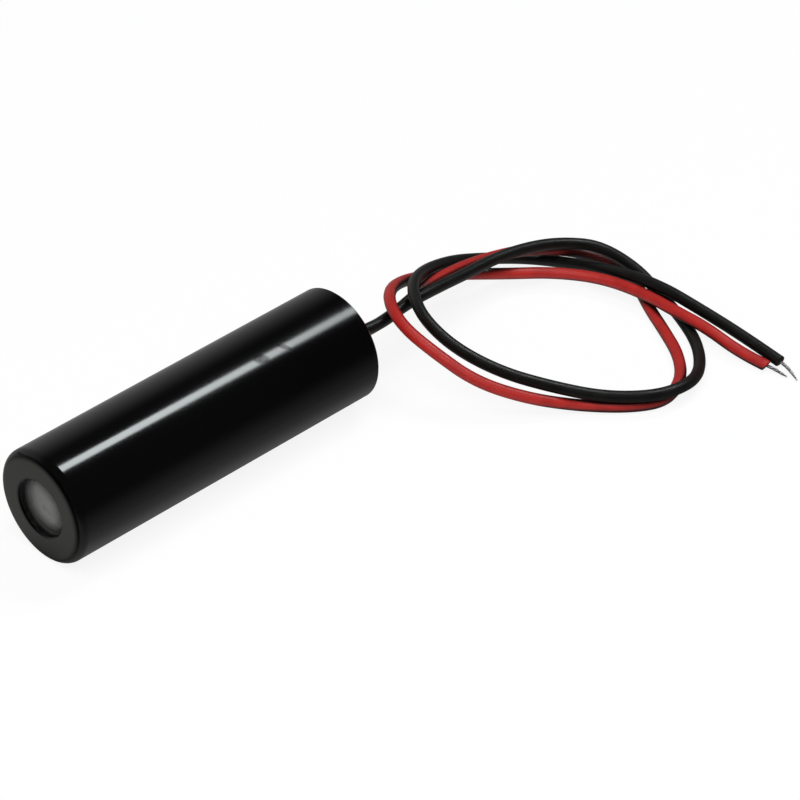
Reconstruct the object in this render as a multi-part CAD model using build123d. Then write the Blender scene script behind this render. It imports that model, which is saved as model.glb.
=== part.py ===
from build123d import *
import os
from math import atan2, degrees, hypot, pi, radians, sqrt, tan

# Laser diode module, millimetres. The optical axis is Y, the beam leaves towards -Y, the two wires leave
# towards +Y, and +Z is up. The origin is on the axis, halfway along the barrel, which lies on its side.

# Barrel
BARREL_D = 14.0
BARREL_L = 45.0
BARREL_WALL = 1.5
FRONT_ROUND = 1.0
FRONT_WALL = 1.15
REAR_CHAMFER = 0.2
APERTURE_LIP = 0.9      # front wall that overlaps the lens, measured in from the pocket
APERTURE_BREAK = 0.12
SHOULDER_STEP = 1.0     # step from the rear bore in to the lens pocket

# Fits
SLIP = 0.02             # radial clearance of a piece that slides into a bore
EASE = 0.05             # radial clearance around a wire, and of the board in its sleeve
CROWN_EASE = 0.1        # radial clearance of a lens dome inside the opening it looks through

# Lens and its ring
LENS_EDGE = 1.3
LENS_FRONT_SAG = 0.55
LENS_REAR_SAG = 0.95
LENS_RING_WALL = 1.3
LENS_RING_L = 2.1
LENS_RING_GAP = 0.2     # ring to the heat sink block
SLOT_W = 0.8            # spanner slots of both rings
SLOT_DEPTH = 0.7

# Heat sink block
CAN_SEAT = 6.0          # block front to the seat of the diode's flange
BEAM_BORE_L = 2.9
BRIM_EASE = 0.15
RING_STEP = 0.7         # step from the flange seat out to the clamping ring's bore
FLANGE_PROUD = 0.2      # flange height that stands out of its seat for the ring to press on
BLOCK_TAIL = 1.8        # block behind the clamping ring
BLOCK_CHAMFER = 0.3

# Laser diode can
FLANGE_D = 5.6
FLANGE_T = 1.2
CAP_D = 3.55
CAP_H = 2.4
CAP_WALL = 0.2
CAP_BRIM_W = 0.475
CAP_BRIM_T = 0.2
CAP_WINDOW_D = 1.6
WINDOW_T = 0.25
WINDOW_EASE = 0.2
EMITTER_H = 1.27        # laser facet ahead of the flange
POST_W = 1.5
POST_T = 0.8
SUBMOUNT_W = 0.8
SUBMOUNT_L = 0.9
SUBMOUNT_T = 0.25
CHIP_W = 0.3
CHIP_L = 0.4
CHIP_T = 0.1
MONITOR_W = 0.6
MONITOR_T = 0.15
MONITOR_RISE = 0.3      # monitor chip above the optical axis
LEAD_D = 0.4
LEAD_CIRCLE_D = 2.0
LEAD_LAP = 2.2          # length of a lead that lies on the board
LEAD_INNER = 0.5        # length of an insulated lead inside the can
SEAL_D = 0.9

# Ring that clamps the diode
DIODE_RING_ID = 3.6
DIODE_RING_L = 2.0

# Driver board
SLEEVE_WALL = 0.28
BOARD_GAP = 0.5         # heat sink block to the board's front edge
BOARD_TAIL = 2.6        # board's rear edge to the plug
BOARD_CORNER = 0.6
BOARD_MARGIN = 0.25     # board's side edges to the nearest part
PAD_GAP = 0.5           # end of a lead or core to its solder

# Parts on the board: length, width, height
IC_BODY = (3.0, 3.0, 1.0)
IC_PINS = 4
IC_PITCH = 0.65
TRANSISTOR_BODY = (2.9, 1.3, 1.0)
TRANSISTOR_PITCH = 1.9
PIN_W = 0.32
PIN_T = 0.16
PIN_REACH = 0.6
PIN_FOOT = 0.35
PIN_RISE = 0.5
BODY_STAND = 0.1
BODY_BREAK = 0.12
DIODE_BODY = (2.7, 1.6, 1.1)
TANTALUM_BODY = (3.2, 1.6, 1.6)
CERAMIC_BODY = (2.0, 1.25, 0.9)
SENSE_BODY = (3.2, 1.6, 0.55)
RESISTOR_BODY = (2.0, 1.25, 0.5)
METAL_END = 0.45        # length of a chip's metal end
METAL_OVER = 0.03       # how far a metal end stands out around the chip's body
SOLDER_W = 1.1
SOLDER_L = 1.7
SOLDER_H = 0.7
SOLDER_ROUND = 0.3

# Rear plug
PLUG_L = 3.0
PLUG_RECESS = 0.4
PLUG_CHAMFER = 0.25

# Wires
WIRE_D = 1.45
CORE_D = 0.4
CORE_LAP = 2.3          # length of a stripped end that lies on the board
ARC_SHARE = 0.45        # share of the shorter run that an arc takes at each of its ends
TIP_LEAD = 1.0          # stretch of a bare tip that goes on straight out of the insulation

# Routes of the wires, from the stripped end inside the barrel to the free end
BLACK_ROUTE = [
    (0.335, 18.0, 0.675), (0.335, 22.7, 0.675), (0.85, 28.1, 0.15), (0.3, 33.1, 0.35), (0.0, 38.5, -0.05),
    (-0.6, 44.2, -1.0), (-1.1, 50.0, -1.38), (-0.25, 55.05, -2.2), (1.25, 59.0, -3.2), (4.05, 62.45, -4.1),
    (9.25, 63.4, -4.5), (13.4, 62.6, -5.4), (18.05, 61.65, -6.275), (23.5, 58.95, -6.275),
    (27.45, 55.15, -6.2), (29.75, 50.3, -4.75), (28.4, 46.05, -4.65), (24.2, 41.8, -4.75),
    (19.6, 37.6, -3.7), (15.3, 33.95, -2.1), (10.35, 31.6, -0.2), (5.7, 31.25, 1.5), (1.8, 33.0, 2.15),
    (-1.35, 36.05, 1.55), (-3.5, 40.2, 0.1), (-4.8, 45.7, -1.94), (-5.05, 51.35, -4.4),
    (-3.15, 57.35, -6.25), (1.95, 60.35, -5.45), (8.5, 61.35, -3.85), (14.8, 61.85, -3.75),
    (20.7, 62.55, -4.6), (27.1, 63.0, -5.3), (32.75, 62.95, -5.65),
]
RED_ROUTE = [
    (-0.335, 18.0, -0.675), (-0.335, 22.7, -0.675), (-0.25, 28.1, -0.97), (-0.65, 33.1, -0.85),
    (-1.65, 38.65, -0.75), (-2.5, 44.5, -1.4), (-2.7, 49.9, -2.5), (-1.85, 55.15, -3.4),
    (-0.25, 60.35, -4.45), (2.75, 63.9, -5.4), (8.25, 63.95, -6.275), (14.05, 60.4, -6.275),
    (19.0, 58.0, -6.275), (23.5, 55.6, -6.275), (27.0, 52.35, -6.275), (28.75, 47.95, -6.275),
    (26.85, 44.15, -6.275), (22.7, 39.9, -6.1), (18.9, 34.9, -4.5), (14.25, 30.9, -2.5), (9.35, 29.1, 0.0),
    (4.9, 28.55, 1.5), (1.2, 29.8, 2.2), (-2.0, 32.7, 1.45), (-4.15, 36.85, -0.3), (-4.9, 41.5, -2.2),
    (-3.6, 46.4, -3.6), (-0.75, 51.15, -4.45), (2.45, 56.1, -4.8), (7.15, 59.55, -4.75),
    (13.2, 60.55, -4.6), (18.45, 60.3, -4.55), (23.25, 60.6, -4.9), (28.45, 60.95, -5.9),
    (32.25, 61.55, -6.275),
]
BLACK_TIP = [(34.9, 62.7, -6.2), (36.2, 62.3, -6.75)]
RED_TIP = [(34.0, 61.85, -6.58), (34.9, 62.0, -6.78)]

# Diameters that follow
BORE_D = BARREL_D - 2 * BARREL_WALL
FILL_D = BORE_D - 2 * SLIP                  # block, sleeve and plug
POCKET_D = BORE_D - 2 * SHOULDER_STEP
LENS_D = POCKET_D - 2 * SLIP
APERTURE_D = POCKET_D - 2 * APERTURE_LIP
LENS_RING_ID = POCKET_D - 2 * LENS_RING_WALL
CAP_BRIM_D = CAP_D + 2 * CAP_BRIM_W
CAP_ID = CAP_D - 2 * CAP_WALL
CAP_BORE_D = CAP_BRIM_D + 2 * BRIM_EASE
SEAT_D = FLANGE_D + 2 * SLIP
RING_BORE_D = FLANGE_D + 2 * RING_STEP
SLEEVE_ID = FILL_D - 2 * SLEEVE_WALL

# Stations along the axis
FRONT_Y = -BARREL_L / 2
REAR_Y = BARREL_L / 2
LENS_Y = FRONT_Y + FRONT_WALL
LENS_RING_Y = LENS_Y + LENS_EDGE
SHOULDER_Y = LENS_RING_Y + LENS_RING_L + LENS_RING_GAP
FLANGE_Y = SHOULDER_Y + CAN_SEAT
CAP_Y = FLANGE_Y - CAP_H
FACET_Y = FLANGE_Y - EMITTER_H
HEADER_REAR_Y = FLANGE_Y + FLANGE_T
DIODE_RING_REAR_Y = HEADER_REAR_Y + DIODE_RING_L
BLOCK_REAR_Y = DIODE_RING_REAR_Y + BLOCK_TAIL
PLUG_REAR_Y = REAR_Y - PLUG_RECESS
PLUG_FRONT_Y = PLUG_REAR_Y - PLUG_L
BOARD_Y = BLOCK_REAR_Y + BOARD_GAP
BOARD_REAR_Y = PLUG_FRONT_Y - BOARD_TAIL
BOARD_L = BOARD_REAR_Y - BOARD_Y
LEAD_END_Y = BOARD_Y + LEAD_LAP
CORE_Y = BOARD_REAR_Y - CORE_LAP

# Across the axis: the diode, board and wire slot are turned about it together, to the wires' angle
WIRE_X, STRIP_Y, WIRE_Z = BLACK_ROUTE[0]
WIRE_PITCH = 2 * hypot(WIRE_X, WIRE_Z)
ROLL = -degrees(atan2(WIRE_Z, WIRE_X))
LEAD_R = LEAD_CIRCLE_D / 2
BOARD_TOP = -LEAD_D / 2                     # two leads lie on the board and the third lies under it
BOARD_T = LEAD_R - LEAD_D
BOARD_BOTTOM = BOARD_TOP - BOARD_T
BOARD_W = 2 * (sqrt((SLEEVE_ID / 2) ** 2 - BOARD_BOTTOM ** 2) - EASE)
SAME = 1e-4

parts = {}


def turned(*outline):
    """A solid of revolution about the Y axis from (radius, y) corners, or from joined edges."""
    if isinstance(outline[0], tuple):
        return revolve(make_face(Polyline(*outline, close=True)), Axis.Y)
    return revolve(make_face(Curve() + list(outline)), Axis.Y)


def tube(outer, inner, y0, y1):
    """A plain ring or tube between two stations."""
    return turned((inner / 2, y0), (outer / 2, y0), (outer / 2, y1), (inner / 2, y1))


def disc(diameter, y0, y1):
    """A plain round plate between two stations."""
    return turned((0, y0), (diameter / 2, y0), (diameter / 2, y1), (0, y1))


def rod(diameter, y0, y1, u, w=0.0):
    """A round rod between two stations, u across and w up from the axis."""
    return Pos(u, 0, w) * disc(diameter, y0, y1)


def brick(across, along, up, u, y, w):
    """A box centred across u, with its front edge at y and its base at w."""
    return Pos(u, y, w) * Box(across, along, up, align=(Align.CENTER, Align.MIN, Align.MIN))


def rim(solid, diameter, y):
    """The circular edge of a turned solid at one diameter and station."""
    rings = solid.edges().filter_by(GeomType.CIRCLE)
    return [e for e in rings if abs(e.radius - diameter / 2) < SAME and abs(e.arc_center.Y - y) < SAME]


def roll(solid):
    """Turn a piece about the optical axis to the wires' own angle."""
    return Rot(0, ROLL, 0) * solid


def dome(diameter, sag, y, way):
    """Half outline of a lens face: an arc from the axis to its rim at station y, bulging along way."""
    half = diameter / 2
    radius = (half ** 2 + sag ** 2) / (2 * sag)
    drop = radius - sqrt(radius ** 2 - (half / 2) ** 2)
    return ThreePointArc((0, y + way * sag), (half / 2, y + way * (sag - drop)), (half, y))


def make_barrel():
    """Turned tube with a front wall, an aperture, a lens pocket and a long bore from the rear."""
    body = turned(
        (APERTURE_D / 2, FRONT_Y), (BARREL_D / 2, FRONT_Y), (BARREL_D / 2, REAR_Y), (BORE_D / 2, REAR_Y),
        (BORE_D / 2, SHOULDER_Y), (POCKET_D / 2, SHOULDER_Y), (POCKET_D / 2, LENS_Y),
        (APERTURE_D / 2, LENS_Y),
    )
    body = fillet(rim(body, BARREL_D, FRONT_Y), FRONT_ROUND)
    body = chamfer(rim(body, APERTURE_D, FRONT_Y), APERTURE_BREAK)
    return chamfer(rim(body, BARREL_D, REAR_Y) + rim(body, BORE_D, REAR_Y), REAR_CHAMFER)


def make_lens():
    """Lens with a flat rim that seats on the front wall, domed on both faces."""
    front_d = APERTURE_D - 2 * CROWN_EASE
    rear_d = LENS_RING_ID - 2 * CROWN_EASE
    edge = Polyline(
        (front_d / 2, LENS_Y), (LENS_D / 2, LENS_Y), (LENS_D / 2, LENS_RING_Y), (rear_d / 2, LENS_RING_Y)
    )
    axis = Line((0, LENS_RING_Y + LENS_REAR_SAG), (0, LENS_Y - LENS_FRONT_SAG))
    front = dome(front_d, LENS_FRONT_SAG, LENS_Y, -1)
    rear = dome(rear_d, LENS_REAR_SAG, LENS_RING_Y, 1)
    return turned(front, edge, rear, axis)


def slotted_ring(outer, inner, y0, y1):
    """Screwed ring with a spanner slot right across its rear face."""
    slot = brick(SLOT_W, SLOT_DEPTH, outer, 0, y1 - SLOT_DEPTH, -outer / 2)
    return tube(outer, inner, y0, y1) - slot


def make_diode_block():
    """Heat sink, stepped inside for the beam, the diode's cap, its flange and the clamping ring."""
    beam_y = SHOULDER_Y + BEAM_BORE_L
    ring_y = HEADER_REAR_Y - FLANGE_PROUD
    body = turned(
        (LENS_RING_ID / 2, SHOULDER_Y), (FILL_D / 2, SHOULDER_Y), (FILL_D / 2, BLOCK_REAR_Y),
        (RING_BORE_D / 2, BLOCK_REAR_Y), (RING_BORE_D / 2, ring_y), (SEAT_D / 2, ring_y),
        (SEAT_D / 2, FLANGE_Y), (CAP_BORE_D / 2, FLANGE_Y), (CAP_BORE_D / 2, beam_y),
        (LENS_RING_ID / 2, beam_y),
    )
    return chamfer(rim(body, FILL_D, SHOULDER_Y), BLOCK_CHAMFER)


def make_header():
    """Round stem of the diode with a post for the laser chip and two holes for the glass seals."""
    post_w = -CHIP_T - SUBMOUNT_T - POST_T
    post = brick(POST_W, EMITTER_H, POST_T, 0, FACET_Y, post_w)
    holes = [rod(SEAL_D, FLANGE_Y, HEADER_REAR_Y, side * LEAD_R) for side in (-1, 1)]
    return roll(disc(FLANGE_D, FLANGE_Y, HEADER_REAR_Y) + post - holes)


def make_cap():
    """Drawn metal cap with a brim, and a round opening in its end."""
    return turned(
        (CAP_WINDOW_D / 2, CAP_Y), (CAP_D / 2, CAP_Y), (CAP_D / 2, FLANGE_Y - CAP_BRIM_T),
        (CAP_BRIM_D / 2, FLANGE_Y - CAP_BRIM_T), (CAP_BRIM_D / 2, FLANGE_Y), (CAP_ID / 2, FLANGE_Y),
        (CAP_ID / 2, CAP_Y + CAP_WALL), (CAP_WINDOW_D / 2, CAP_Y + CAP_WALL),
    )


def make_diode():
    """The laser diode can: stem, cap, window, chips, leads and their glass seals."""
    window_y = CAP_Y + CAP_WALL
    submount_w = -CHIP_T - SUBMOUNT_T
    monitor_y = FLANGE_Y - MONITOR_T
    parts["diode_header"] = make_header()
    parts["diode_cap"] = make_cap()
    parts["diode_window"] = disc(CAP_ID - 2 * WINDOW_EASE, window_y, window_y + WINDOW_T)
    parts["laser_submount"] = roll(brick(SUBMOUNT_W, SUBMOUNT_L, SUBMOUNT_T, 0, FACET_Y, submount_w))
    parts["laser_chip"] = roll(brick(CHIP_W, CHIP_L, CHIP_T, 0, FACET_Y, -CHIP_T))
    parts["monitor_chip"] = roll(brick(MONITOR_W, MONITOR_T, MONITOR_W, 0, monitor_y, MONITOR_RISE))
    for name, side in (("cathode", -1), ("monitor", 1)):
        lead = rod(LEAD_D, FLANGE_Y - LEAD_INNER, LEAD_END_Y, side * LEAD_R)
        parts[f"{name}_lead"] = roll(lead)
        parts[f"{name}_seal"] = roll(rod(SEAL_D, FLANGE_Y, HEADER_REAR_Y, side * LEAD_R) - lead)
    parts["common_lead"] = roll(rod(LEAD_D, HEADER_REAR_Y, LEAD_END_Y, 0, -LEAD_R))


def chip_part(size):
    """Two-terminal chip, centred at its base: a body with a metal end at each side."""
    length, width, height = size
    over = 2 * METAL_OVER
    body = brick(width, length, height, 0, -length / 2, METAL_OVER)
    end = brick(width + over, METAL_END, height + over, 0, length / 2 + METAL_OVER - METAL_END, 0)
    return body + end + mirror(end, Plane.XZ)


def bent_pin(inner, outer):
    """One bent pin, from inside a moulded body down to its foot on the board."""
    knee = outer - PIN_FOOT
    outline = Polyline(
        (inner, PIN_RISE), (knee, PIN_RISE), (knee, PIN_T), (outer, PIN_T), (outer, 0),
        (knee - PIN_T, 0), (knee - PIN_T, PIN_RISE - PIN_T), (inner, PIN_RISE - PIN_T), close=True,
    )
    return extrude(make_face(Plane.XZ * outline), PIN_W / 2, both=True)


def moulded_part(size, left, right):
    """Moulded part, centred at its base, with bent pins at the given places along its two sides."""
    length, width, height = size
    body = brick(width, length, height - BODY_STAND, 0, -length / 2, BODY_STAND)
    body = chamfer(body.faces().sort_by(Axis.Z)[-1].edges(), BODY_BREAK)
    pin = bent_pin(width / 2 - PIN_T, width / 2 + PIN_REACH)
    body += [Pos(0, y, 0) * pin for y in right]
    return body + [Pos(0, y, 0) * mirror(pin, Plane.YZ) for y in left]


def solder(lead_d, u, y, side):
    """Loaf of solder over one lead or core, on the top (1) or the bottom (-1) face of the board."""
    base = BOARD_TOP if side > 0 else BOARD_BOTTOM
    loaf = brick(SOLDER_W, SOLDER_L, SOLDER_H, 0, y, 0)
    loaf = fillet(loaf.faces().sort_by(Axis.Z)[-1].edges(), SOLDER_ROUND)
    loaf -= rod(lead_d, y, y + SOLDER_L, 0, lead_d / 2)
    loaf -= brick(lead_d, SOLDER_L, lead_d / 2, 0, y, 0)
    if side < 0:
        loaf = mirror(loaf, Plane.XY)
    return roll(Pos(u, 0, base) * loaf)


def place_row(y, *pieces):
    """Set named parts side by side across the board, spread between its two margins, centred on y."""
    widths = [piece.bounding_box().size.X for _, piece in pieces]
    free = BOARD_W - 2 * BOARD_MARGIN - sum(widths)
    u = BOARD_MARGIN - BOARD_W / 2
    for (name, piece), width in zip(pieces, widths):
        parts[name] = roll(Pos(u + width / 2, y, BOARD_TOP) * piece)
        u += width + free / (len(pieces) - 1)


def make_board():
    """Driver board with three rows of parts, and the solder joints of the diode's leads."""
    outline = RectangleRounded(BOARD_W, BOARD_L, BOARD_CORNER)
    parts["driver_board"] = roll(Pos(0, BOARD_Y + BOARD_L / 2, BOARD_BOTTOM) * extrude(outline, BOARD_T))
    pins = [(i - (IC_PINS - 1) / 2) * IC_PITCH for i in range(IC_PINS)]
    legs = [-TRANSISTOR_PITCH / 2, TRANSISTOR_PITCH / 2]
    rows = [
        (IC_BODY, [
            ("pass_transistor", moulded_part(TRANSISTOR_BODY, legs, [0])),
            ("driver_ic", moulded_part(IC_BODY, pins, pins)),
        ]),
        (SENSE_BODY, [
            ("sense_resistor", chip_part(SENSE_BODY)),
            ("bypass_capacitor", chip_part(CERAMIC_BODY)),
            ("input_capacitor", chip_part(TANTALUM_BODY)),
        ]),
        (DIODE_BODY, [
            ("bias_resistor", chip_part(RESISTOR_BODY)),
            ("feedback_resistor", chip_part(RESISTOR_BODY)),
            ("protection_diode", chip_part(DIODE_BODY)),
        ]),
    ]
    free = CORE_Y - LEAD_END_Y - sum(longest[0] for longest, _ in rows)
    y = LEAD_END_Y
    for longest, pieces in rows:
        y += free / (len(rows) + 1) + longest[0] / 2
        place_row(y, *pieces)
        y += longest[0] / 2
    joint_y = LEAD_END_Y - PAD_GAP / 2 - SOLDER_L
    parts["cathode_solder"] = solder(LEAD_D, -LEAD_R, joint_y, 1)
    parts["monitor_solder"] = solder(LEAD_D, LEAD_R, joint_y, 1)
    parts["common_solder"] = solder(LEAD_D, 0, joint_y, -1)


def swept(name, points, diameter):
    """Round solid along straight runs joined by arcs as large as the runs allow."""
    corners = [Vector(*p) for p in points]
    bends = []
    for before, corner, after in zip(corners, corners[1:], corners[2:]):
        come, go = corner - before, after - corner
        turn = radians(come.get_angle(go))
        bends.append(ARC_SHARE * min(come.length, go.length) / tan(turn / 2))
    path = FilletPolyline(*corners, radius=bends)
    solid = sweep(Plane(origin=path @ 0, z_dir=path % 0) * Circle(diameter / 2), path)
    print(f"{name}: length {path.length:.1f}, radii {[round(r, 1) for r in bends]}")
    print(f"  volume {solid.volume:.3f}, section times length {pi * diameter ** 2 / 4 * path.length:.3f}")
    return solid


def make_wire(colour, route, tip, side):
    """One supply wire: insulation, bare tip, stripped inner end and its solder joint."""
    last, end = Vector(*route[-2]), Vector(*route[-1])
    straight = end + (end - last).normalized() * TIP_LEAD
    u = side * WIRE_PITCH / 2
    parts[f"{colour}_wire"] = swept(f"{colour}_wire", route, WIRE_D)
    parts[f"{colour}_tip"] = swept(f"{colour}_tip", [end, straight, *tip], CORE_D)
    parts[f"{colour}_core"] = roll(rod(CORE_D, CORE_Y, STRIP_Y, u, BOARD_TOP + CORE_D / 2))
    parts[f"{colour}_solder"] = solder(CORE_D, u, CORE_Y + PAD_GAP / 2, 1)


def make_plug():
    """Plug that closes the rear of the bore, with one oblong hole for the two wires side by side."""
    body = chamfer(rim(disc(FILL_D, PLUG_FRONT_Y, PLUG_REAR_Y), FILL_D, PLUG_FRONT_Y), PLUG_CHAMFER)
    hole = extrude(SlotCenterToCenter(WIRE_PITCH, WIRE_D + 2 * EASE), PLUG_L, both=True)
    return body - roll(Pos(0, PLUG_REAR_Y, 0) * Rot(90, 0, 0) * hole)


parts["barrel"] = make_barrel()
parts["lens"] = make_lens()
parts["lens_ring"] = slotted_ring(LENS_D, LENS_RING_ID, LENS_RING_Y, LENS_RING_Y + LENS_RING_L)
parts["diode_block"] = make_diode_block()
parts["diode_ring"] = slotted_ring(RING_BORE_D - 2 * SLIP, DIODE_RING_ID, HEADER_REAR_Y, DIODE_RING_REAR_Y)
make_diode()
parts["board_sleeve"] = tube(FILL_D, SLEEVE_ID, BLOCK_REAR_Y, PLUG_FRONT_Y)
make_board()
make_wire("red", RED_ROUTE, RED_TIP, -1)
make_wire("black", BLACK_ROUTE, BLACK_TIP, 1)
parts["rear_plug"] = make_plug()

os.makedirs("parts", exist_ok=True)
for name, solid in parts.items():
    export_step(solid, f"parts/{name}.step")
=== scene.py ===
"""Looks of a laser diode module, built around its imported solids.

The frame is the part's own, in metres: the optical axis is Y, the beam leaves towards -Y, the two supply
wires leave towards +Y, and Z is up. The barrel lies on its side with the wires in a loose loop behind it.
"""

from __future__ import annotations

import logging
import math
from dataclasses import dataclass
from enum import Enum
from typing import Union

import bmesh
import bpy
from mathutils import Matrix, Vector

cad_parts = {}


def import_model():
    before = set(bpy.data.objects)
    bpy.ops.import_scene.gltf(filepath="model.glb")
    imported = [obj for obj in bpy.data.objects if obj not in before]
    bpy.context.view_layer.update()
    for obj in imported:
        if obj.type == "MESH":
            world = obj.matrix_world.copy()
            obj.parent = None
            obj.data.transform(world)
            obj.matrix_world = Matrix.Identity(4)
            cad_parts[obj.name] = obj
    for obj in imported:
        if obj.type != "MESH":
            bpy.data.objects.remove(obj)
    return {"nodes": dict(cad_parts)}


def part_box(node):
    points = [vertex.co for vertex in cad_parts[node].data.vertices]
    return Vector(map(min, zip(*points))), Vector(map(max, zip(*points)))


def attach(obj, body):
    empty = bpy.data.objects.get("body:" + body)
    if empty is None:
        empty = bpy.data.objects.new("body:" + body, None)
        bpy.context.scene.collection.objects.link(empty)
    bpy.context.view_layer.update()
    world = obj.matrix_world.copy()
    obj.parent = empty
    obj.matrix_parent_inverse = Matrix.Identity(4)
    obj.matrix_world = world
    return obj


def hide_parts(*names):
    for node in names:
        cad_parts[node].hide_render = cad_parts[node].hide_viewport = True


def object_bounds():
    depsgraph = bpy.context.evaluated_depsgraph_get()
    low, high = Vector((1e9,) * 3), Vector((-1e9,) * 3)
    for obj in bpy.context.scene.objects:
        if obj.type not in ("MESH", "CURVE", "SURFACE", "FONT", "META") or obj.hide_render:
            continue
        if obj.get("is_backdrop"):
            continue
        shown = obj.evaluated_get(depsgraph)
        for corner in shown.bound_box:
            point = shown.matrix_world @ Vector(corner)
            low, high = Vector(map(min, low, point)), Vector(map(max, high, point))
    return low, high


LOG = logging.getLogger("laser_module")
MM = 0.001

# Steps between two control points, and how finely the round section is divided
CORD_STEPS = 10
CORD_FACETS = 6
STRAND_STEPS = 3
STRAND_FACETS = 3

Pair = tuple[float, float]
Point = tuple[float, float, float]
Colour = tuple[float, float, float, float]
Number = Union[int, float]


class Op(Enum):
    """Operations of a Math node that the finishes use."""

    ADD = "ADD"
    SUBTRACT = "SUBTRACT"
    MULTIPLY = "MULTIPLY"
    DIVIDE = "DIVIDE"
    POWER = "POWER"
    ABSOLUTE = "ABSOLUTE"
    MAXIMUM = "MAXIMUM"
    SINE = "SINE"
    ARCTAN2 = "ARCTAN2"
    SQRT = "SQRT"


class Signal:
    """A shader socket that takes part in arithmetic: each operator adds a Math node."""

    def __init__(self, graph: Graph, socket: bpy.types.NodeSocket) -> None:
        """Keep the socket and the graph that it belongs to."""
        self.graph = graph
        self.socket = socket

    def math(self, op: Op, *others: Operand, swap: bool = False) -> Signal:
        """Add one Math node.

        Args:
            op: What the node does.
            others: Its further operands, if it takes any.
            swap: Whether this signal is the second operand.

        Returns:
            The node's result.
        """
        operands: list[Operand] = [self, *others]
        if swap:
            operands.reverse()
        made = self.graph.node("ShaderNodeMath", {"operation": op.value}, dict(enumerate(operands)))
        return self.graph.out(made)

    def __add__(self, other: Operand) -> Signal:
        """Sum of two values."""
        return self.math(Op.ADD, other)

    __radd__ = __add__

    def __sub__(self, other: Operand) -> Signal:
        """Difference of two values."""
        return self.math(Op.SUBTRACT, other)

    def __rsub__(self, other: Operand) -> Signal:
        """A number less this value."""
        return self.math(Op.SUBTRACT, other, swap=True)

    def __mul__(self, other: Operand) -> Signal:
        """Product of two values."""
        return self.math(Op.MULTIPLY, other)

    __rmul__ = __mul__

    def __truediv__(self, other: Operand) -> Signal:
        """Quotient of two values."""
        return self.math(Op.DIVIDE, other)

    def __pow__(self, other: Operand) -> Signal:
        """This value raised to a power."""
        return self.math(Op.POWER, other)

    def __abs__(self) -> Signal:
        """Size of this value without its sign."""
        return self.math(Op.ABSOLUTE)

    def ramp(self, start: Number, stop: Number) -> Signal:
        """Smooth step between two values, held beyond both.

        Args:
            start: Where it leaves 0.
            stop: Where it reaches 1.

        Returns:
            The step, from 0 to 1.
        """
        made = self.graph.node(
            "ShaderNodeMapRange",
            {"interpolation_type": "SMOOTHSTEP", "clamp": True},
            {"Value": self, "From Min": start, "From Max": stop, "To Min": 0.0, "To Max": 1.0},
        )
        return self.graph.out(made)


Operand = Union[Signal, Number]


class Graph:
    """The node tree of one material, or of the world."""

    def __init__(self, tree: bpy.types.NodeTree) -> None:
        """Start the tree empty."""
        self.tree = tree
        self.tree.nodes.clear()

    def node(
        self,
        kind: str,
        settings: dict[str, object] | None = None,
        inputs: dict[str | int, object] | None = None,
    ) -> bpy.types.Node:
        """Make one node.

        Args:
            kind: The node's type name.
            settings: Its own settings, set before its sockets.
            inputs: Values or links of its input sockets, by name or number.

        Returns:
            The new node.
        """
        made = self.tree.nodes.new(kind)
        for name, value in (settings or {}).items():
            setattr(made, name, value)
        for key, value in (inputs or {}).items():
            socket = made.inputs[key]
            if isinstance(value, Signal):
                self.tree.links.new(value.socket, socket)
            else:
                socket.default_value = value
        return made

    def out(self, node: bpy.types.Node, name: str | int = 0) -> Signal:
        """One output of a node as a signal."""
        return Signal(self, node.outputs[name])

    def place(self) -> tuple[Signal, Signal, Signal]:
        """Where the surface point is in the part's frame.

        Returns:
            Its X, Y and Z.
        """
        coordinates = self.node("ShaderNodeTexCoord")
        split = self.node("ShaderNodeSeparateXYZ", None, {0: self.out(coordinates, "Object")})
        return self.out(split, "X"), self.out(split, "Y"), self.out(split, "Z")

    def distance(self, centre: Pair = (0.0, 0.0)) -> Signal:
        """Distance of the surface point from a line along the optical axis.

        Args:
            centre: The line's X and Z.

        Returns:
            The distance.
        """
        x, _, z = self.place()
        across = x - centre[0]
        up = z - centre[1]
        return (across * across + up * up).math(Op.SQRT)

    def noise(self, scale: float, detail: float = 2.0, stretch: Point = (1.0, 1.0, 1.0)) -> Signal:
        """Cloudy noise from 0 to 1 on the part's own coordinates.

        Args:
            scale: Blobs in a metre.
            detail: Octaves of finer noise.
            stretch: Factors on the scale along X, Y and Z.

        Returns:
            The noise value.
        """
        coordinates = self.node("ShaderNodeTexCoord")
        mapped = self.node(
            "ShaderNodeMapping", None, {"Vector": self.out(coordinates, "Object"), "Scale": stretch}
        )
        made = self.node(
            "ShaderNodeTexNoise", None, {"Vector": self.out(mapped), "Scale": scale, "Detail": detail}
        )
        return self.out(made, "Fac")

    def blend(self, share: Operand, first: Colour | Signal, second: Colour | Signal) -> Signal:
        """Mix of two colours.

        Args:
            share: Share of the second colour.
            first: The first colour.
            second: The second colour.

        Returns:
            The mixed colour.
        """
        made = self.node(
            "ShaderNodeMix", {"data_type": "RGBA"}, {"Factor": share, 6: first, 7: second}
        )
        return self.out(made, 2)

    def bump(self, height: Signal, depth: float, strength: float = 1.0) -> Signal:
        """A bumped normal.

        Args:
            height: Height of the surface, in units of the depth.
            depth: What a height of 1 stands for, in metres.
            strength: Share of the bump that is used.

        Returns:
            The normal.
        """
        made = self.node(
            "ShaderNodeBump", None, {"Strength": strength, "Distance": depth, "Height": height}
        )
        return self.out(made, "Normal")

    def surface(self, **sockets: object) -> None:
        """End a material in one Principled shader.

        Args:
            sockets: Values or links of its sockets, with underscores for spaces.
        """
        inputs = {name.replace("_", " "): value for name, value in sockets.items()}
        shader = self.node("ShaderNodeBsdfPrincipled", None, inputs)
        self.node("ShaderNodeOutputMaterial", None, {"Surface": self.out(shader)})


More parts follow.
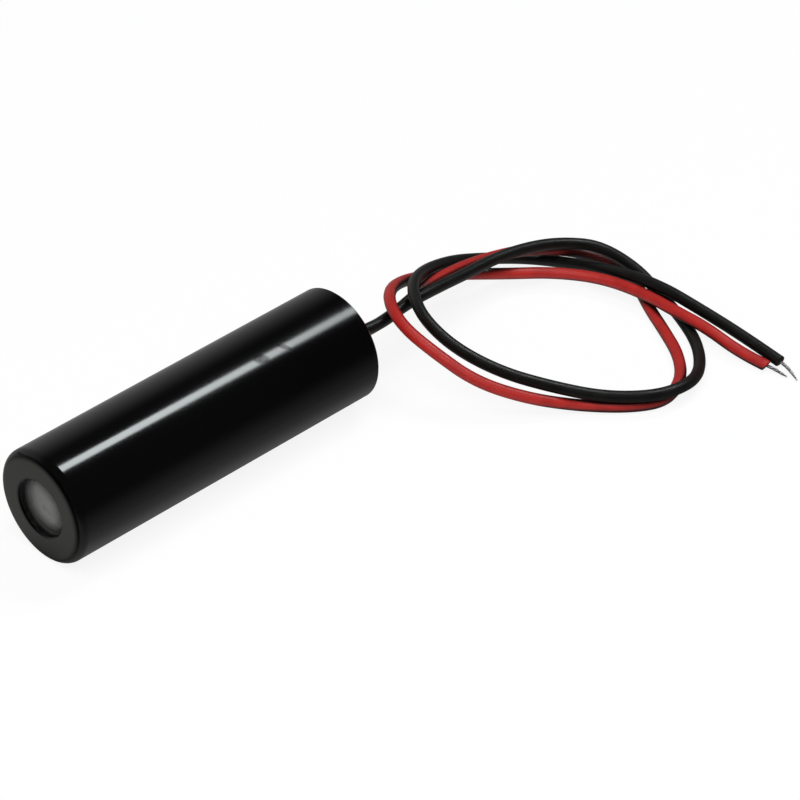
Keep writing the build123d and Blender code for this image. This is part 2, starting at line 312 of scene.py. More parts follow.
@dataclass(frozen=True)
class Finish:
    """How one kind of surface looks."""

    name: str

    def paint(self, graph: Graph) -> None:
        """Fill the material's node tree."""
        raise NotImplementedError

    def material(self) -> bpy.types.Material:
        """Make the finish's material, or find it where it is made already.

        Returns:
            The material.
        """
        made = bpy.data.materials.get(self.name)
        if made is None:
            made = bpy.data.materials.new(self.name)
            made.use_nodes = True
            self.paint(Graph(made.node_tree))
        return made


@dataclass(frozen=True)
class Scuff:
    """A dull rubbed mark on the barrel.

    Attributes:
        along: Place along the axis.
        angle: Place around the axis, from +X towards +Z, in radians.
        length: Half its length along the axis.
        spread: Half its width around the axis, in radians.
        lean: How far it shifts along the axis for each radian around it.
        dullness: Share of the gloss that it takes away.
        soft: Squared shares of its size between which it fades out.
    """

    along: float
    angle: float
    length: float
    spread: float
    lean: float
    dullness: float
    soft: Pair = (0.3, 1.4)

    def cover(self, along: Signal, around: Signal) -> Signal:
        """How fully the mark covers the surface.

        Args:
            along: The surface point's place along the axis.
            around: Its angle around the axis.

        Returns:
            1 in the middle of the mark, and 0 outside it.
        """
        turned = around - self.angle
        shift = (along - self.along - turned * self.lean) / self.length
        near = (turned / self.spread) ** 2.0 + shift ** 2.0
        return 1.0 - near.ramp(*self.soft)


@dataclass(frozen=True)
class GlossAnodising(Finish):
    """Black anodised barrel: glossy along its side, satin on its turned front face.

    Attributes:
        front: Where the barrel starts along the axis.
        rear: Where it ends.
        scuffs: Rubbed marks on its side.
        colour: Colour of its side.
        face_colour: Colour of its front face.
        seat_glow_colour: Painted light on the aperture's wall beside the lens, standing for the lens's
            glow on it.
        side_roughness: Roughness of its side.
        face_roughness: Roughness of its front face.
        grain_roughness: Roughness that the face's grain adds.
        grain_scale: Grains in a metre.
        smear: Roughness that finger smears add.
        smear_scale: Smears in a metre.
        smear_stretch: Factors on that along X, Y and Z.
        smear_span: Noise values between which a smear sets in.
        haze: Roughness that the side gains from front to rear.
        fade: Share of the gloss that is gone at the rear.
        fade_start: Where along the axis that loss sets in.
        waver: How far the scuffs' outlines waver.
        waver_scale: Wavers in a metre.
        patch: Share of a scuff that comes in patches.
        patch_scale: Patches in a metre.
        patch_span: Noise values between which a patch sets in.
        edge: Depths behind the front between which the flat face ends.
        bore: Radii between which the aperture's wall ends and the face starts.
        mouth_shade: Distances between which the face's satin sets in around the aperture; inside them the
            face is black, as painted shade along the aperture's lower left edge.
        mouth_shade_centre: The X and Z that these are measured from, set towards the lower left.
        rim: Distances between which the face's satin ends: partly the satin's real end at the rounding,
            partly painted shade that comes sooner towards the upper right.
        rim_shade_centre: The X and Z that these are measured from, set towards the lower left.
        seat_glow: Radii between which that painted light ends.
        seat_glow_depth: Depths behind the front between which that painted light sets in.
        ring_pitch: Spacing of the turning rings on the face.
        ring_grain: How strongly the grain breaks up the rings.
        ring_height: Share of the relief that the rings take.
        grain_height: Share of the relief that the grain takes all over.
        relief: Height of the rings and the grain.
        ior: Index of refraction of the anodised skin.
    """

    front: float
    rear: float
    scuffs: tuple[Scuff, ...]
    colour: Colour = (0.0014, 0.0014, 0.0015, 1.0)
    face_colour: Colour = (0.130, 0.130, 0.124, 1.0)
    seat_glow_colour: Colour = (0.04, 0.04, 0.038, 1.0)
    side_roughness: float = 0.095
    face_roughness: float = 0.42
    grain_roughness: float = 0.08
    grain_scale: float = 9000.0
    smear: float = 0.025
    smear_scale: float = 180.0
    smear_stretch: Point = (1.0, 0.35, 1.0)
    smear_span: Pair = (0.35, 0.75)
    haze: float = 0.06
    fade: float = 0.27
    fade_start: float = -6.0 * MM
    waver: float = 0.3 * MM
    waver_scale: float = 3500.0
    patch: float = 0.3
    patch_scale: float = 2600.0
    patch_span: Pair = (0.2, 0.7)
    edge: Pair = (0.06 * MM, 0.22 * MM)
    bore: Pair = (3.58 * MM, 3.62 * MM)
    mouth_shade: Pair = (3.25 * MM, 3.85 * MM)
    mouth_shade_centre: Pair = (-0.35 * MM, -0.20 * MM)
    rim: Pair = (5.8 * MM, 6.9 * MM)
    rim_shade_centre: Pair = (-0.40 * MM, -0.34 * MM)
    seat_glow: Pair = (3.65 * MM, 3.80 * MM)
    seat_glow_depth: Pair = (0.60 * MM, 1.1 * MM)
    ring_pitch: float = 0.14 * MM
    ring_grain: float = 2.0
    ring_height: float = 0.5
    grain_height: float = 0.12
    relief: float = 0.004 * MM
    ior: float = 1.5

    def worn(self, graph: Graph) -> Signal:
        """Wear of the gloss at the scuffs and towards the rear.

        Args:
            graph: The material's node tree.

        Returns:
            The share of the gloss that is gone.
        """
        x, y, z = graph.place()
        around = z.math(Op.ARCTAN2, x)
        along = y + (graph.noise(self.waver_scale, detail=3.0) - 0.5) * self.waver
        patchy = graph.noise(self.patch_scale, detail=3.0).ramp(*self.patch_span)
        covered = patchy * self.patch + (1.0 - self.patch)
        total = y.ramp(self.fade_start, self.rear) * self.fade
        for scuff in self.scuffs:
            total = total.math(Op.MAXIMUM, scuff.cover(along, around) * covered * scuff.dullness)
        return total

    def paint(self, graph: Graph) -> None:
        """Gloss with faint smears, worn marks, and turning rings on the front face, with painted shade on
        the face and painted light on the wall beside the lens.

        Args:
            graph: The material's node tree.
        """
        _, y, _ = graph.place()
        depth = y - self.front
        radius = graph.distance()
        flat = 1.0 - depth.ramp(*self.edge)
        face = flat * radius.ramp(*self.bore)
        # Painted shade: the satin sets in late along the aperture's lower left edge and ends early
        # towards the upper right.
        mouth_shade = graph.distance(self.mouth_shade_centre).ramp(*self.mouth_shade)
        outer = graph.distance(self.rim_shade_centre).ramp(*self.rim)
        satin_less_shade = face * mouth_shade * (1.0 - outer)
        # Painted light: the deep wall beside the lens is lighter, standing for the lens's glow on it.
        seat_glow = (1.0 - radius.ramp(*self.seat_glow)) * depth.ramp(*self.seat_glow_depth)
        black = graph.blend(seat_glow, self.colour, self.seat_glow_colour)
        streaks = graph.noise(self.smear_scale, detail=4.0, stretch=self.smear_stretch)
        smears = streaks.ramp(*self.smear_span)
        side = smears * self.smear + self.side_roughness + y.ramp(self.front, self.rear) * self.haze
        grain = graph.noise(self.grain_scale)
        satin = grain * self.grain_roughness + self.face_roughness
        turning = (radius * (2 * math.pi / self.ring_pitch)).math(Op.SINE)
        rings = (turning + grain * self.ring_grain) * face
        height = rings * self.ring_height + grain * self.grain_height
        graph.surface(
            Base_Color=graph.blend(satin_less_shade, black, self.face_colour),
            Metallic=face.math(Op.MAXIMUM, self.worn(graph) * (1.0 - flat)),
            Roughness=side * (1.0 - face) + face * satin,
            IOR=self.ior,
            Normal=graph.bump(height, self.relief),
        )


@dataclass(frozen=True)
class ClearGlass(Finish):
    """Polished clear glass or lens plastic.

    Attributes:
        tint: Colour in the middle.
        edge_tint_and_shade: Colour at the edge: a tint of the glass, and on the lens painted shade.
        edge: Distances between which one colour turns into the other.
        centre: Where those distances are measured from, as X and Z; set off the axis, it puts the painted
            shade on one side.
        roughness: Roughness of its face.
        clarity: Share of the light that passes through.
        ior: Index of refraction.
        dust: Roughness that dust adds.
        dust_scale: Specks in a metre.
        dust_span: Noise values between which a speck sets in.
    """

    tint: Colour = (0.96, 0.97, 0.98, 1.0)
    edge_tint_and_shade: Colour = (0.90, 0.92, 0.94, 1.0)
    edge: Pair = (0.5 * MM, 1.2 * MM)
    centre: Pair = (0.0, 0.0)
    roughness: float = 0.02
    clarity: float = 1.0
    ior: float = 1.5
    dust: float = 0.05
    dust_scale: float = 2600.0
    dust_span: Pair = (0.62, 0.85)

    def paint(self, graph: Graph) -> None:
        """Clear, with the faintest dust on its face, and a colour that turns to the edge colour outwards,
        painted shade where that colour is dark.

        Args:
            graph: The material's node tree.
        """
        dusty = graph.noise(self.dust_scale, detail=3.0).ramp(*self.dust_span)
        # Painted shade where the edge colour is dark: the colour darkens with distance from the centre.
        outer = graph.distance(self.centre).ramp(*self.edge)
        graph.surface(
            Base_Color=graph.blend(outer, self.tint, self.edge_tint_and_shade),
            Roughness=dusty * self.dust + self.roughness,
            IOR=self.ior,
            Transmission_Weight=self.clarity,
        )


@dataclass(frozen=True)
class Insulation(Finish):
    """Soft extruded wire insulation with a slight sheen, with painted shade where wires lie close
    together or near the floor.

    Attributes:
        colour: Colour of the insulation.
        shade: Colour of its mottled patches.
        painted_crevice_shade: Painted shade deep between two wires and where a wire lies near the floor.
        roughness: Roughness of its skin.
        depth: How near a neighbour or the floor has to be for painted shade.
        painted_shade_span: Shares of open surroundings between which the painted shade ends.
        rays: Directions that are tried for a neighbour.
        mottle_scale: Patches in a metre.
        mottle_span: Noise values between which a patch sets in.
        skin_scale: Bumps in a metre.
        unevenness: How far the roughness varies.
        relief: Height of the bumps.
        relief_share: Share of that height that shows.
        ior: Index of refraction.
    """

    colour: Colour
    shade: Colour
    painted_crevice_shade: Colour
    roughness: float = 0.42
    depth: float = 3.2 * MM
    painted_shade_span: Pair = (0.42, 0.90)
    rays: int = 12
    mottle_scale: float = 420.0
    mottle_span: Pair = (0.3, 0.75)
    skin_scale: float = 5200.0
    unevenness: float = 0.12
    relief: float = 0.012 * MM
    relief_share: float = 0.6
    ior: float = 1.48

    def paint(self, graph: Graph) -> None:
        """Mottled colour, painted shade where neighbours are near, and a skin that is a little uneven.

        Args:
            graph: The material's node tree.
        """
        mottle = graph.noise(self.mottle_scale, detail=4.0)
        skin = graph.noise(self.skin_scale, detail=3.0)
        # Painted shade: ambient occlusion darkens the colour where another wire or the floor is near.
        around = graph.node(
            "ShaderNodeAmbientOcclusion", {"samples": self.rays}, {"Distance": self.depth}
        )
        unshaded_share = graph.out(around, "AO").ramp(*self.painted_shade_span)
        plain = graph.blend(mottle.ramp(*self.mottle_span), self.colour, self.shade)
        graph.surface(
            Base_Color=graph.blend(unshaded_share, self.painted_crevice_shade, plain),
            Roughness=(mottle - 0.5) * self.unevenness + self.roughness,
            IOR=self.ior,
            Normal=graph.bump(skin + mottle, self.relief, self.relief_share),
        )


@dataclass(frozen=True)
class Metal(Finish):
    """Bare, plated or soldered metal, with marks that run around or along it.

    Attributes:
        colour: Colour of the clean metal.
        tarnish: Colour of its duller clouds.
        roughness: Its roughness.
        stretch: Factors on the marks' scale along X, Y and Z.
        marks: Marks in a metre.
        bareness: Share of it that is metal, the rest being film.
        cloud_scale: Clouds in a metre.
        cloud_span: Noise values between which a cloud sets in.
        unevenness: How far the roughness varies.
        relief: Height of the marks.
    """

    colour: Colour
    tarnish: Colour
    roughness: float = 0.28
    stretch: Point = (1.0, 1.0, 1.0)
    marks: float = 3000.0
    bareness: float = 1.0
    cloud_scale: float = 700.0
    cloud_span: Pair = (0.4, 0.8)
    unevenness: float = 0.2
    relief: float = 0.003 * MM

    def paint(self, graph: Graph) -> None:
        """Metal that is duller and darker in its marks.

        Args:
            graph: The material's node tree.
        """
        cloud = graph.noise(self.cloud_scale, detail=4.0)
        lines = graph.noise(self.marks, stretch=self.stretch)
        graph.surface(
            Base_Color=graph.blend(cloud.ramp(*self.cloud_span), self.colour, self.tarnish),
            Metallic=self.bareness,
            Roughness=(lines - 0.5) * self.unevenness + self.roughness,
            Normal=graph.bump(lines, self.relief),
        )


@dataclass(frozen=True)
class Moulding(Finish):
    """Moulded, potted or fired material with a fine grain.

    Attributes:
        colour: Its main colour.
        speckle: Colour of its specks.
        roughness: Its roughness.
        grain: Specks in a metre.
        depth: Height of the grain.
        speck_span: Noise values between which a speck sets in.
        cloud_scale: Clouds of gloss in a metre.
        unevenness: How far the roughness varies.
        ior: Index of refraction.
    """

    colour: Colour
    speckle: Colour
    roughness: float = 0.5
    grain: float = 4000.0
    depth: float = 0.006 * MM
    speck_span: Pair = (0.45, 0.8)
    cloud_scale: float = 300.0
    unevenness: float = 0.16
    ior: float = 1.5

    def paint(self, graph: Graph) -> None:
        """Fine speckle in colour, gloss and height.

        Args:
            graph: The material's node tree.
        """
        speck = graph.noise(self.grain, detail=3.0)
        cloud = graph.noise(self.cloud_scale, detail=3.0)
        graph.surface(
            Base_Color=graph.blend(speck.ramp(*self.speck_span), self.colour, self.speckle),
            Roughness=(cloud - 0.5) * self.unevenness + self.roughness,
            IOR=self.ior,
            Normal=graph.bump(speck + cloud, self.depth),
        )


class Lead(Enum):
    """The two supply wires."""

    RED = "red"
    BLACK = "black"


ROUTES: dict[Lead, list[Point]] = {
    Lead.BLACK: [
        (0.000335, 0.018, 0.000675), (0.000335, 0.0227, 0.000675), (0.00093, 0.0281, 0.00008),
        (0.0003, 0.0331, 0.00035), (0.0, 0.0385, -0.00005), (-0.0006, 0.0442, -0.001),
        (-0.001, 0.0499, -0.00155), (-0.0003, 0.0551, -0.0021), (0.00105, 0.0592, -0.00285),
        (0.0038, 0.0627, -0.0036), (0.00925, 0.0634, -0.0045), (0.0134, 0.0626, -0.0054),
        (0.01805, 0.06165, -0.006275), (0.0235, 0.05895, -0.006275), (0.02745, 0.05515, -0.0062),
        (0.02975, 0.0503, -0.00475), (0.0286, 0.04585, -0.00468), (0.02442, 0.04158, -0.00478),
        (0.0196, 0.0376, -0.0037), (0.0153, 0.03395, -0.0021), (0.01035, 0.0316, -0.0002),
        (0.0057, 0.03125, 0.0015), (0.0018, 0.033, 0.00215), (-0.00135, 0.03605, 0.00155),
        (-0.0035, 0.0402, 0.0001), (-0.0048, 0.0457, -0.00194), (-0.00505, 0.05135, -0.0044),
        (-0.00315, 0.05735, -0.00625), (0.00215, 0.06015, -0.00587), (0.00875, 0.0611, -0.00425),
        (0.0148, 0.06185, -0.00375), (0.0207, 0.06255, -0.0046), (0.02713, 0.06297, -0.00538),
        (0.03277, 0.06286, -0.00594),
    ],
    Lead.RED: [
        (-0.000335, 0.018, -0.000675), (-0.000335, 0.0227, -0.000675), (-0.00024, 0.029, -0.00097),
        (-0.0008, 0.034, -0.00077), (-0.00185, 0.0388, -0.0006), (-0.0025, 0.0445, -0.0014),
        (-0.0027, 0.0499, -0.0025), (-0.00185, 0.05515, -0.0034), (-0.00005, 0.06015, -0.00475),
        (0.00296, 0.0635, -0.00608), (0.00825, 0.06395, -0.006275), (0.01405, 0.0604, -0.006275),
        (0.019, 0.058, -0.006275), (0.0235, 0.0556, -0.006275), (0.027, 0.05235, -0.006275),
        (0.02875, 0.04795, -0.006275), (0.02685, 0.04415, -0.006275), (0.0227, 0.0399, -0.0061),
        (0.0189, 0.0349, -0.0045), (0.01425, 0.0309, -0.0025), (0.00935, 0.0291, 0.0),
        (0.0049, 0.02855, 0.0015), (0.0012, 0.0298, 0.0022), (-0.002, 0.0327, 0.00145),
        (-0.00415, 0.03685, -0.0003), (-0.0049, 0.0415, -0.0022), (-0.0036, 0.0464, -0.0036),
        (-0.00075, 0.05115, -0.00445), (0.00255, 0.056, -0.00495), (0.00735, 0.05935, -0.005),
        (0.01335, 0.0604, -0.00478), (0.01855, 0.0602, -0.00465), (0.02325, 0.0606, -0.0049),
        (0.0285, 0.06085, -0.006), (0.03175, 0.06138, -0.00626),
    ],
}
TIPS: dict[Lead, list[Point]] = {
    Lead.BLACK: [(0.0338, 0.06282, -0.00604), (0.03495, 0.06265, -0.00635), (0.0362, 0.0623, -0.00675)],
    Lead.RED: [(0.03323, 0.0617, -0.00637), (0.034, 0.06185, -0.00658), (0.0349, 0.062, -0.00678)],
}


def spline_curve(name: str, points: list[Point], radius: float = 0.0) -> bpy.types.Object:
    """A smooth cord along control points.

    Args:
        name: Name of the new object.
        points: Control points of the route.
        radius: Radius of the round section, or 0 for the bare line.

    Returns:
        The curve object, linked to the scene.
    """
    curve = bpy.data.curves.new(name, "CURVE")
    curve.dimensions = "3D"
    spline = curve.splines.new("NURBS")
    spline.points.add(len(points) - 1)
    for control, place in zip(spline.points, points):
        control.co = (*place, 1.0)
    spline.order_u = 3
    spline.use_endpoint_u = True
    spline.resolution_u = CORD_STEPS
    curve.bevel_depth = radius
    curve.bevel_resolution = CORD_FACETS
    curve.use_fill_caps = True
    made = bpy.data.objects.new(name, curve)
    bpy.context.scene.collection.objects.link(made)
    return made


def line_points(points: list[Point]) -> list[Vector]:
    """Read points along the smooth line of a route.

    Args:
        points: Control points of the route.

    Returns:
        The points on the line, in order.
    """
    bare = spline_curve("route_line", points)
    mesh = bpy.data.meshes.new_from_object(bare)
    places = [vertex.co.copy() for vertex in mesh.vertices]
    bpy.data.objects.remove(bare)
    bpy.data.meshes.remove(mesh)
    return places


def mesh_object(
    name: str, shape: bmesh.types.BMesh, sharp: float = math.radians(35.0)
) -> bpy.types.Object:
    """Turn a bmesh into a smooth-shaded object.

    Args:
        name: Name of the new object.
        shape: The finished bmesh, which is freed.
        sharp: Angle above which an edge stays sharp.

    Returns:
        The object, linked to the scene.
    """
    mesh = bpy.data.meshes.new(name)
    shape.to_mesh(mesh)
    shape.free()
    mesh.shade_smooth()
    mesh.set_sharp_from_angle(angle=sharp)
    made = bpy.data.objects.new(name, mesh)
    bpy.context.scene.collection.objects.link(made)
    return made


@dataclass
class SupplyWire:
    """One insulated wire with its cut end and its twisted bare strands.

    Attributes:
        lead: Which of the two wires it is.
        finish: Its insulation.
        metal: Its bare conductor.
        exit_y: Where it leaves the rear plug; not used.
        length: Its real length; not used.
        radius: Radius of the insulation.
        cut_slant: How far the cut end leans out of square.
        cut_stand: How far its shorter side stands out of the laid wire.
        cut_rim: Width of the cut face's flat rim.
        cut_slope: Width of the slope into its dish.
        cut_dish: Depth of the dish.
        cut_round: Size of the rounding around the cut face.
        cut_facets: Facets around the cut end.
        round_steps: Facets across its rounding.
        strand: Radius of one strand.
        outer_strands: Number of strands around the middle one.
        spacing: Distance of those from the middle one, in strand radii.
        twist: Length along the tip for one turn of its strands.
        taper: Share of the tip's thickness that is gone at its very end.
        taper_from: Share of the tip's length at which it starts to narrow.
    """

    lead: Lead
    finish: Finish
    metal: Finish
    exit_y: float
    length: float = 179.0 * MM
    radius: float = 0.725 * MM
    cut_slant: float = 0.12 * MM
    cut_stand: float = 0.19 * MM
    cut_rim: float = 0.24 * MM
    cut_slope: float = 0.16 * MM
    cut_dish: float = 0.05 * MM
    cut_round: float = 0.18 * MM
    cut_facets: int = 40
    round_steps: int = 4
    strand: float = 0.068 * MM
    outer_strands: int = 6
    spacing: float = 1.94
    twist: float = 5.0 * MM
    taper: float = 0.6
    taper_from: float = 0.5

    def build(self) -> list[str]:
        """Lay the wire, cut its end and twist its strands.

        Returns:
            The names of the three new pieces.
        """
        name = self.lead.value
        route = ROUTES[self.lead]
        wire = spline_curve(f"{name}_wire_insulation", route, self.radius)
        wire.data.materials.append(self.finish.material())
        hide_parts(f"{name}_wire")
        cut = self.cut_end(route)
        tip = self.strands([route[-1], *TIPS[self.lead]])
        for piece in (wire, cut, tip):
            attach(piece, "root")
        2 * self.radius
        return [wire.name, cut.name, tip.name]

    def cut_end(self, route: list[Point]) -> bpy.types.Object:
        """The snipped end of the insulation: a slanted face, dished around the strands.

        Args:
            route: Control points of the wire.

        Returns:
            The new piece.
        """
        last = Vector(route[-1])
        heading = (last - Vector(route[-2])).normalized()
        shape = bmesh.new()
        bmesh.ops.create_circle(shape, cap_ends=True, segments=self.cut_facets, radius=self.radius)
        grown = bmesh.ops.extrude_face_region(shape, geom=list(shape.faces))
        top = [v for v in grown["geom"] if isinstance(v, bmesh.types.BMVert)]
        for vert in top:
            vert.co.z += self.cut_stand + self.cut_slant * (1.0 + vert.co.x / self.radius)
        face = next(f for f in grown["geom"] if isinstance(f, bmesh.types.BMFace))
        rim = bmesh.ops.inset_individual(shape, faces=[face], thickness=self.cut_rim)
        bmesh.ops.inset_individual(shape, faces=[face], thickness=self.cut_slope, depth=-self.cut_dish)
        edges = {e for f in rim["faces"] for e in f.edges if all(v in top for v in e.verts)}
        bmesh.ops.bevel(
            shape,
            geom=list(edges),
            offset=self.cut_round,
            segments=self.round_steps,
            profile=0.5,
            affect="EDGES",
            material=-1,
        )
        bmesh.ops.recalc_face_normals(shape, faces=shape.faces)
        turn = heading.to_track_quat("Z", "X").to_matrix().to_4x4()
        shape.transform(Matrix.Translation(last) @ turn)
        made = mesh_object(f"{self.lead.value}_wire_cut_end", shape)
        made.data.materials.append(self.finish.material())
        return made

    def fullness(self, share: float) -> float:
        """Thickness of the tip at a share of its length, 1 where it is full."""
        narrowed = max(0.0, share - self.taper_from) / (1.0 - self.taper_from)
        return 1.0 - self.taper * narrowed ** 2

    def strands(self, path: list[Point]) -> bpy.types.Object:
        """Twisted bare strands along the tip: one in the middle and the others around it.

        Args:
            path: Control points of the tip.

        Returns:
            The new piece.
        """
        name = f"{self.lead.value}_tip_strands"
        places = line_points(path)
        last = len(places) - 1
        curve = bpy.data.curves.new(name, "CURVE")
        curve.dimensions = "3D"
        curve.bevel_depth = self.strand
        curve.bevel_resolution = STRAND_FACETS
        curve.use_fill_caps = True
        for strand in range(self.outer_strands + 1):
            offset = 0.0 if strand == self.outer_strands else self.spacing * self.strand
            spline = curve.splines.new("NURBS")
            spline.points.add(last)
            travelled = 0.0
            side = (places[1] - places[0]).orthogonal().normalized()
            for index, place in enumerate(places):
                ahead = places[min(index + 1, last)] - places[max(index - 1, 0)]
                ahead.normalize()
                side = (side - ahead * side.dot(ahead)).normalized()
                if index:
                    travelled += (place - places[index - 1]).length
                turn = 2 * math.pi * (strand / self.outer_strands + travelled / self.twist)
                spoke = side * math.cos(turn) + ahead.cross(side) * math.sin(turn)
                full = self.fullness(index / last)
                spline.points[index].co = (*(place + spoke * offset * full), 1.0)
                spline.points[index].radius = full
            spline.order_u = 3
            spline.use_endpoint_u = True
            spline.resolution_u = STRAND_STEPS
        made = bpy.data.objects.new(name, curve)
        bpy.context.scene.collection.objects.link(made)
        made.data.materials.append(self.metal.material())
        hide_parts(f"{self.lead.value}_tip")
        return made


def put_on(node: bpy.types.Object, finish: Finish) -> None:
    """Give a node the finish in all its material slots."""
    for slot in node.material_slots:
        slot.material = finish.material()


@dataclass
class Housing:
    """Barrel, lens and rear plug, which keep their solids and get their finishes.

    Attributes:
        nodes: The frame's solids by name.
        scuffs: Rubbed marks on the barrel.
    """

    nodes: dict[str, bpy.types.Object]
    scuffs: tuple[Scuff, ...] = (
        Scuff(8.0 * MM, math.radians(65.8), 0.95 * MM, math.radians(6.5), -3.0 * MM, 0.80),
        Scuff(11.5 * MM, math.radians(65.2), 0.45 * MM, math.radians(6.5), -5.0 * MM, 0.75),
    )

    def dress(self) -> list[str]:
        """Give the three pieces their finishes.

        Returns:
            Their names.
        """
        low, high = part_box("barrel")
        looks = {
            "barrel": GlossAnodising("gloss_anodising", low.y, high.y, self.scuffs),
            # The lens: milky grey, with painted shade that darkens it towards its upper right edge.
            "lens": ClearGlass(
                "lens_glass",
                tint=(0.47, 0.47, 0.46, 1),
                edge_tint_and_shade=(0.07, 0.07, 0.07, 1),
                edge=(2.0 * MM, 4.0 * MM),
                centre=(-0.9 * MM, -0.5 * MM),
                roughness=0.22,
                clarity=0.72,
            ),
            "rear_plug": Moulding("plug_resin", (0.006, 0.006, 0.006, 1), (0.016, 0.016, 0.016, 1), 0.38),
        }
        for name, finish in looks.items():
            put_on(self.nodes[name], finish)
        return list(looks)


@dataclass
class Insides:
    """The optics, diode and driver board inside the barrel.

    Attributes:
        nodes: The frame's solids by name.
        ring: Finish of the lens's ring.
        brass: Finish of the block and of the ring that clamps the diode.
        gold: Finish of the diode's header and leads.
        nickel: Finish of its cap.
        solder: Finish of the solder joints.
        window: Finish of the cap's window.
        seal: Finish of the leads' glass seals.
        silicon: Finish of the chips.
        ceramic: Finish of the chip's submount.
        film: Finish of the sleeve around the board.
        mask: Finish of the board.
        compound: Finish of the moulded packages.
        glaze: Finish of the resistors.
        fired: Finish of the capacitors.
    """

    nodes: dict[str, bpy.types.Object]
    ring: Finish = Moulding("ring_anodising", (0.006, 0.006, 0.006, 1), (0.012, 0.012, 0.012, 1), 0.34)
    brass: Finish = Metal(
        "turned_brass", (0.80, 0.56, 0.22, 1), (0.50, 0.32, 0.12, 1), 0.30, (0.05, 1.0, 0.05)
    )
    gold: Finish = Metal("gold_plate", (0.94, 0.68, 0.26, 1), (0.80, 0.52, 0.18, 1), 0.20)
    nickel: Finish = Metal("nickel_plate", (0.70, 0.66, 0.60, 1), (0.52, 0.48, 0.43, 1), 0.26)
    solder: Finish = Metal("solder_joint", (0.74, 0.74, 0.75, 1), (0.48, 0.48, 0.50, 1), 0.30)
    window: Finish = ClearGlass("diode_window_glass")
    seal: Finish = Moulding("seal_glass", (0.02, 0.045, 0.04, 1), (0.04, 0.07, 0.06, 1), 0.14)
    silicon: Finish = Moulding("chip_silicon", (0.06, 0.06, 0.085, 1), (0.09, 0.09, 0.12, 1), 0.16)
    ceramic: Finish = Moulding("submount_ceramic", (0.62, 0.60, 0.54, 1), (0.74, 0.72, 0.66, 1), 0.55)
    film: Finish = Moulding("sleeve_film", (0.012, 0.012, 0.013, 1), (0.02, 0.02, 0.021, 1), 0.42)
    mask: Finish = Moulding("board_mask", (0.010, 0.085, 0.030, 1), (0.022, 0.13, 0.05, 1), 0.30, 2500.0)
    compound: Finish = Moulding(
        "moulding_compound", (0.010, 0.010, 0.011, 1), (0.03, 0.03, 0.03, 1), 0.62
    )
    glaze: Finish = Moulding("resistor_glaze", (0.014, 0.014, 0.016, 1), (0.03, 0.03, 0.032, 1), 0.28)
    fired: Finish = Moulding("capacitor_body", (0.26, 0.15, 0.07, 1), (0.36, 0.22, 0.11, 1), 0.45)

    def dress(self, tinned: Finish) -> list[str]:
        """Give every inner node its finish.

        Args:
            tinned: The finish of the wires' bare copper.

        Returns:
            The names of the nodes.
        """
        groups: list[tuple[Finish, tuple[str, ...]]] = [
            (self.ring, ("lens_ring",)),
            (self.brass, ("diode_block", "diode_ring")),
            (self.gold, ("diode_header", "cathode_lead", "monitor_lead", "common_lead")),
            (self.nickel, ("diode_cap",)),
            (self.window, ("diode_window",)),
            (self.seal, ("cathode_seal", "monitor_seal")),
            (self.silicon, ("laser_chip", "monitor_chip")),
            (self.ceramic, ("laser_submount",)),
            (self.film, ("board_sleeve",)),
            (self.mask, ("driver_board",)),
            (self.compound, ("driver_ic", "pass_transistor", "protection_diode")),
            (self.fired, ("input_capacitor", "bypass_capacitor")),
            (self.glaze, ("sense_resistor", "feedback_resistor", "bias_resistor")),
            (self.solder, ("cathode_solder", "monitor_solder", "common_solder")),
            (self.solder, ("red_solder", "black_solder")),
            (tinned, ("red_core", "black_core")),
        ]
        for finish, names in groups:
            for name in names:
                put_on(self.nodes[name], finish)
        return [name for _, names in groups for name in names]


